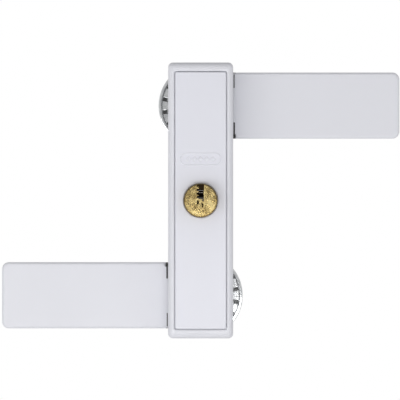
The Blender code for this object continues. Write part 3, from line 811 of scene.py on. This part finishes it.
# ---- cylinder body, plug and wafers -----------------------------------------------------------
# A turned brass body that pushes in, with a brass plug whose head covers it. The broached keyway
# has side wards, and spring-loaded wafers of nickel silver cross it behind the face.
def brass_finish(face, radius):
    """Tumbled brass: a mottled gold, softly dented, with painted near-black shade inside the keyway.

    The face is where the plug's face lies along the wall's axis. Its edges, and the rim next to the
    face, are painted dark brown as shade.
    """
    material, tree, shader = start_material("tumbled_brass", 1.0)
    shader.inputs["Specular Tint"].default_value = (0.55, 0.38, 0.16, 1.0)
    surface = group_node(tree, grain_group, Scale=1100.0, Broad=520.0)
    fine = group_node(tree, grain_group, Scale=4000.0, Broad=300.0)
    scratch = group_node(tree, hairline_group, Scale=900.0, Amount=0.7)
    edge_finder = group_node(tree, edge_group, Radius=0.0005, Gain=2.0)
    gold = blend_colours(tree, surface.outputs["Mottle"], (0.37, 0.275, 0.115), (0.19, 0.13, 0.043))
    pale = blend_colours(tree, fine.outputs["Mottle"], gold, (0.45, 0.36, 0.165))
    # Painted shade: every edge darkens to brown.
    edge_shade = spread(tree, edge_finder.outputs["Edge"], 0.0, 0.75)
    shaded_edges = blend_colours(tree, edge_shade, pale, (0.16, 0.10, 0.03))
    place = add(tree, "ShaderNodeTexCoord").outputs["Object"]
    across = add(tree, "ShaderNodeVectorMath", {0: place, 1: (1.0, 0.0, 1.0)}, operation="MULTIPLY")
    reach = add(tree, "ShaderNodeVectorMath", {0: across.outputs["Vector"]}, operation="LENGTH")
    # Painted shade: near black on everything inside the face's rim from 0.4 mm behind the face, so
    # the keyway reads dark.
    inside = add(tree, "ShaderNodeMapRange",
                 {"Value": reach.outputs["Value"], "From Min": radius - 0.00015,
                  "From Max": radius - 0.00025})
    depth = add(tree, "ShaderNodeSeparateXYZ", {"Vector": place}).outputs["Y"]
    below = add(tree, "ShaderNodeMapRange",
                {"Value": depth, "From Min": face + 0.00005, "From Max": face + 0.0004})
    keyway_shade = add(tree, "ShaderNodeMath", {0: inside.outputs[0], 1: below.outputs[0]},
                 operation="MULTIPLY").outputs[0]
    # Painted shade: a dark brown band round the rim next to the face.
    rim_shade_band = add(tree, "ShaderNodeMapRange",
                {"Value": reach.outputs["Value"], "From Min": radius - 0.0009,
                 "From Max": radius - 0.0002, "To Max": 0.85})
    near_face = add(tree, "ShaderNodeMapRange",
                    {"Value": depth, "From Min": face + 0.0013, "From Max": face + 0.0007})
    rim_shade = add(tree, "ShaderNodeMath", {0: rim_shade_band.outputs[0], 1: near_face.outputs[0]},
                   operation="MULTIPLY")
    rim_shaded = blend_colours(tree, rim_shade.outputs[0], shaded_edges, (0.13, 0.082, 0.022))
    tree.links.new(blend_colours(tree, keyway_shade, rim_shaded, (0.030, 0.020, 0.010)),
                   shader.inputs["Base Color"])
    mottled = spread(tree, fine.outputs["Mottle"], 0.16, 0.30)
    dulled = add(tree, "ShaderNodeMath", {0: scratch.outputs["Mask"], 1: 0.2, 2: mottled},
                 operation="MULTIPLY_ADD")
    dry = add(tree, "ShaderNodeMath", {0: keyway_shade, 1: 0.35, 2: dulled.outputs[0]},
              operation="MULTIPLY_ADD")
    tree.links.new(dry.outputs[0], shader.inputs["Roughness"])
    dents = add(tree, "ShaderNodeBump",
                {"Height": surface.outputs["Height"], "Strength": 1.0, "Distance": 0.000035})
    skin = add(tree, "ShaderNodeBump",
               {"Height": fine.outputs["Height"], "Strength": 0.5, "Distance": 0.00002,
                "Normal": dents.outputs["Normal"]})
    tree.links.new(skin.outputs["Normal"], shader.inputs["Normal"])
    return material


body_back, body_front = layer("cylinder_body")
plug_back, plug_front = layer("cylinder_plug")
face_radius = half_size("cylinder_plug")[0]
face_depth = -plug_front / MM
brass = brass_finish(face_depth, face_radius / MM)
# Painted shade: the wafers darken to near black from 4 to 6 mm behind the plug's face.
nickel = metal("nickel_silver", (0.33, 0.31, 0.27), (0.16, 0.15, 0.13), (0.32, 0.45), broad=600.0,
               hollow=(face_depth + 0.004, face_depth + 0.006))

head_back, barrel, bore = 36, 5, 5.3
sleeve = make("cylinder_sleeve", lathe(rounded_ring(bore, face_radius, body_back, body_front, 0.2),
                                       steps=96))
groove_half, groove_reach, spring_hole, spring_circle = 3, 6.3, 1.25, 6.9
for turn in (0, -math.pi / 2):
    wafer_groove = block(-groove_half, groove_half, -groove_reach, -3.5, 23, 37)
    wafer_groove.transform(Matrix.Rotation(turn, 4, "Z"))
    combine(sleeve, wafer_groove)
for spot in arc(spring_circle, 80, 190, 1):
    combine(sleeve, rod(spring_hole, 19, 22.2, spot, 24))
dress(sleeve, brass, "cylinder", "brass", "cylinder_body")

chamfer = 0.4
profile = [(0, plug_front), (face_radius - chamfer, plug_front),
           (face_radius - 0.5 * chamfer, plug_front - 0.2 * chamfer),
           (face_radius, plug_front - 0.9 * chamfer), (face_radius, head_back + 0.2),
           (face_radius - 0.2, head_back), (barrel, head_back), (barrel, body_back),
           (0, body_back)]
plug = make("plug_turned", lathe(profile, steps=96))
tail = 1.5
combine(plug, block(-tail, tail, -tail, tail, plug_back, body_back + 1), "UNION")
left = [(-1.30, 9.2)]
for notch in (7.2, 5.25, 3.4, 1.65):
    left += [(-0.9, notch + 0.85), (-2.0, notch + 0.45), (-2.0, notch - 0.35), (-0.9, notch - 0.75)]
right = [(0.75, 0.55), (0.80, -0.40), (1.65, -0.40), (1.60, 2.6), (1.45, 3.6), (1.70, 5.2),
         (1.75, 7.4), (1.60, 9.2)]
wards = [
    left + right,
    [(-1.90, 0.10), (-1.90, -2.05), (-1.25, -2.05), (-0.85, -1.45), (-0.95, 0.10)],
    [(-0.95, -1.65), (0.45, -3.35), (0.65, -3.25), (-0.75, -1.50)],
    [(0.45, -1.45), (1.30, -1.35), (1.30, -3.20), (0.60, -3.35)],
]
for outline, depth in zip(wards, (13.6, 2.4, 0.8, 2.4)):
    combine(plug, prism(outline, plug_front - depth, plug_front + 2))
for number in range(1, 6):
    back, front = layer(f"wafer_{number}")
    combine(plug, block(-3, 3, -6, 6, back - 0.3, front + 0.3))
    half_x, half_y = half_size(f"wafer_{number}")
    wafer = make(f"wafer_blade_{number}", prism(round_corners(half_x, half_y, 0.3, 4), back, front))
    low_edge = 1.9 - 0.5 * ((number * 2) % 3)
    combine(wafer, block(-1.9, 1.8, low_edge, 3.9, 20, 40))
    dress(wafer, nickel, "wafer_pack", "zinc", f"wafer_{number}")
dress(plug, brass, "plug", "brass", "cylinder_plug")


# ---- pieces that show only through the gaps ---------------------------------------------------
# The zinc cylinder guide, the nylon bolt guide, the yoke, cam, bolts and screws keep their CAD
# shapes. They are seen between the case and the hubs, and through the plate's holes.
def nylon_finish():
    """Black glass-filled nylon, faintly flecked and satin."""
    material, tree, shader = start_material("black_nylon", 0.0)
    surface = group_node(tree, grain_group, Scale=3000.0, Broad=700.0)
    edge_finder = group_node(tree, edge_group, Radius=0.0003, Gain=3.0)
    flecked = blend_colours(tree, surface.outputs["Mottle"], (0.020, 0.020, 0.021),
                            (0.045, 0.045, 0.047))
    tree.links.new(blend_colours(tree, edge_finder.outputs["Edge"], flecked, (0.09, 0.09, 0.09)),
                   shader.inputs["Base Color"])
    tree.links.new(spread(tree, surface.outputs["Mottle"], 0.42, 0.6), shader.inputs["Roughness"])
    bump = add(tree, "ShaderNodeBump",
               {"Height": surface.outputs["Height"], "Strength": 0.5, "Distance": 0.00002,
                "Normal": edge_finder.outputs["Normal"]})
    tree.links.new(bump.outputs["Normal"], shader.inputs["Normal"])
    return material


kept_finishes = {"cylinder_guide": cast_zinc, "bolt_guide": nylon_finish()}
for node in ("wedge_yoke", "locking_cam", "upper_locking_bolt", "lower_locking_bolt",
             "upper_case_screw", "lower_case_screw", "guide_screw_1", "guide_screw_2"):
    kept_finishes[node] = plated_steel
for node, material in kept_finishes.items():
    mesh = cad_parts[node].data
    mesh.materials.clear()
    mesh.materials.append(material)


# ---- studio -----------------------------------------------------------------------------------
# A pale floor below the lock, a bright world that is dimmer above and behind the camera, and two
# large soft lamps. The camera looks straight at the lock's face through a long lens.
floor_half, floor_level = 3.0, -0.26
floor_shape = bmesh.new()
bmesh.ops.create_grid(floor_shape, x_segments=1, y_segments=1, size=floor_half,
                      matrix=Matrix.Translation((0, 0, floor_level)))
floor_plane = make("studio_floor", floor_shape)
floor_material, floor_nodes, floor_shader = start_material("pale_floor", 0.0)
floor_grain = group_node(floor_nodes, grain_group, Scale=300.0, Broad=4.0)
floor_nodes.links.new(blend_colours(floor_nodes, floor_grain.outputs["Mottle"], (0.83, 0.83, 0.83),
                                    (0.80, 0.80, 0.80)), floor_shader.inputs["Base Color"])
floor_shader.inputs["Roughness"].default_value = 0.7
floor_shader.inputs["Emission Color"].default_value = (1.0, 1.0, 1.0, 1.0)
floor_shader.inputs["Emission Strength"].default_value = 0.24
floor_plane.data.materials.append(floor_material)

world = bpy.data.worlds.new("studio_world")
world.use_nodes = True
bpy.context.scene.world = world
sky = world.node_tree
sky.nodes.clear()
direction = add(sky, "ShaderNodeTexCoord").outputs["Generated"]
axes = add(sky, "ShaderNodeSeparateXYZ", {"Vector": direction})
height = add(sky, "ShaderNodeMapRange",
             {"Value": axes.outputs["Z"], "From Min": -0.2, "From Max": 0.9, "To Min": 0.92,
              "To Max": 0.30})
behind_camera = add(sky, "ShaderNodeMapRange",
                    {"Value": axes.outputs["Y"], "From Min": -1.0, "From Max": -0.86,
                     "To Min": 0.62, "To Max": 1.0})
shaded = add(sky, "ShaderNodeMath", {0: height.outputs[0], 1: behind_camera.outputs[0]},
             operation="MULTIPLY")
lit = add(sky, "ShaderNodeBackground", {"Strength": shaded.outputs[0]})
seen = add(sky, "ShaderNodeBackground", {"Strength": 1.0})
for background in (lit, seen):
    background.inputs["Color"].default_value = (1.0, 1.0, 1.0, 1.0)
camera_ray = add(sky, "ShaderNodeLightPath").outputs["Is Camera Ray"]
choose = add(sky, "ShaderNodeMixShader", {0: camera_ray, 1: lit.outputs[0], 2: seen.outputs[0]})
surface_out = add(sky, "ShaderNodeOutputWorld")
sky.links.new(choose.outputs[0], surface_out.inputs["Surface"])


def lamp(name, place, aim, size, power):
    """A soft oblong lamp that the camera doesn't see."""
    data = bpy.data.lights.new(name, "AREA")
    data.shape = "RECTANGLE"
    data.size, data.size_y = size
    data.energy = power
    obj = bpy.data.objects.new(name, data)
    obj.location = place
    obj.rotation_euler = (Vector(aim) - Vector(place)).to_track_quat("-Z", "Y").to_euler()
    obj.visible_camera = False
    bpy.context.scene.collection.objects.link(obj)


lamp("key_lamp", (-0.18, -0.56, -0.38), (0, 0, -0.03), (0.90, 0.70), 5.1)
lamp("fill_lamp", (0.03, -1.15, -0.36), (0, 0, 0), (0.6, 0.5), 4.3)

view_width, view_x, view_z = 0.2028, -0.00033, 0.00023
camera_data = bpy.data.cameras.new("camera")
camera_data.lens = 600.0
camera_data.sensor_width = 36.0
camera_distance = view_width * camera_data.lens / camera_data.sensor_width
camera_data.clip_start, camera_data.clip_end = 0.1, 20.0
camera = bpy.data.objects.new("camera", camera_data)
camera.location = (view_x, -case_front / MM - camera_distance, view_z)
camera.rotation_euler = (math.pi / 2, 0, 0)
bpy.context.scene.collection.objects.link(camera)
bpy.context.scene.camera = camera
bpy.context.scene.view_settings.view_transform = "Standard"
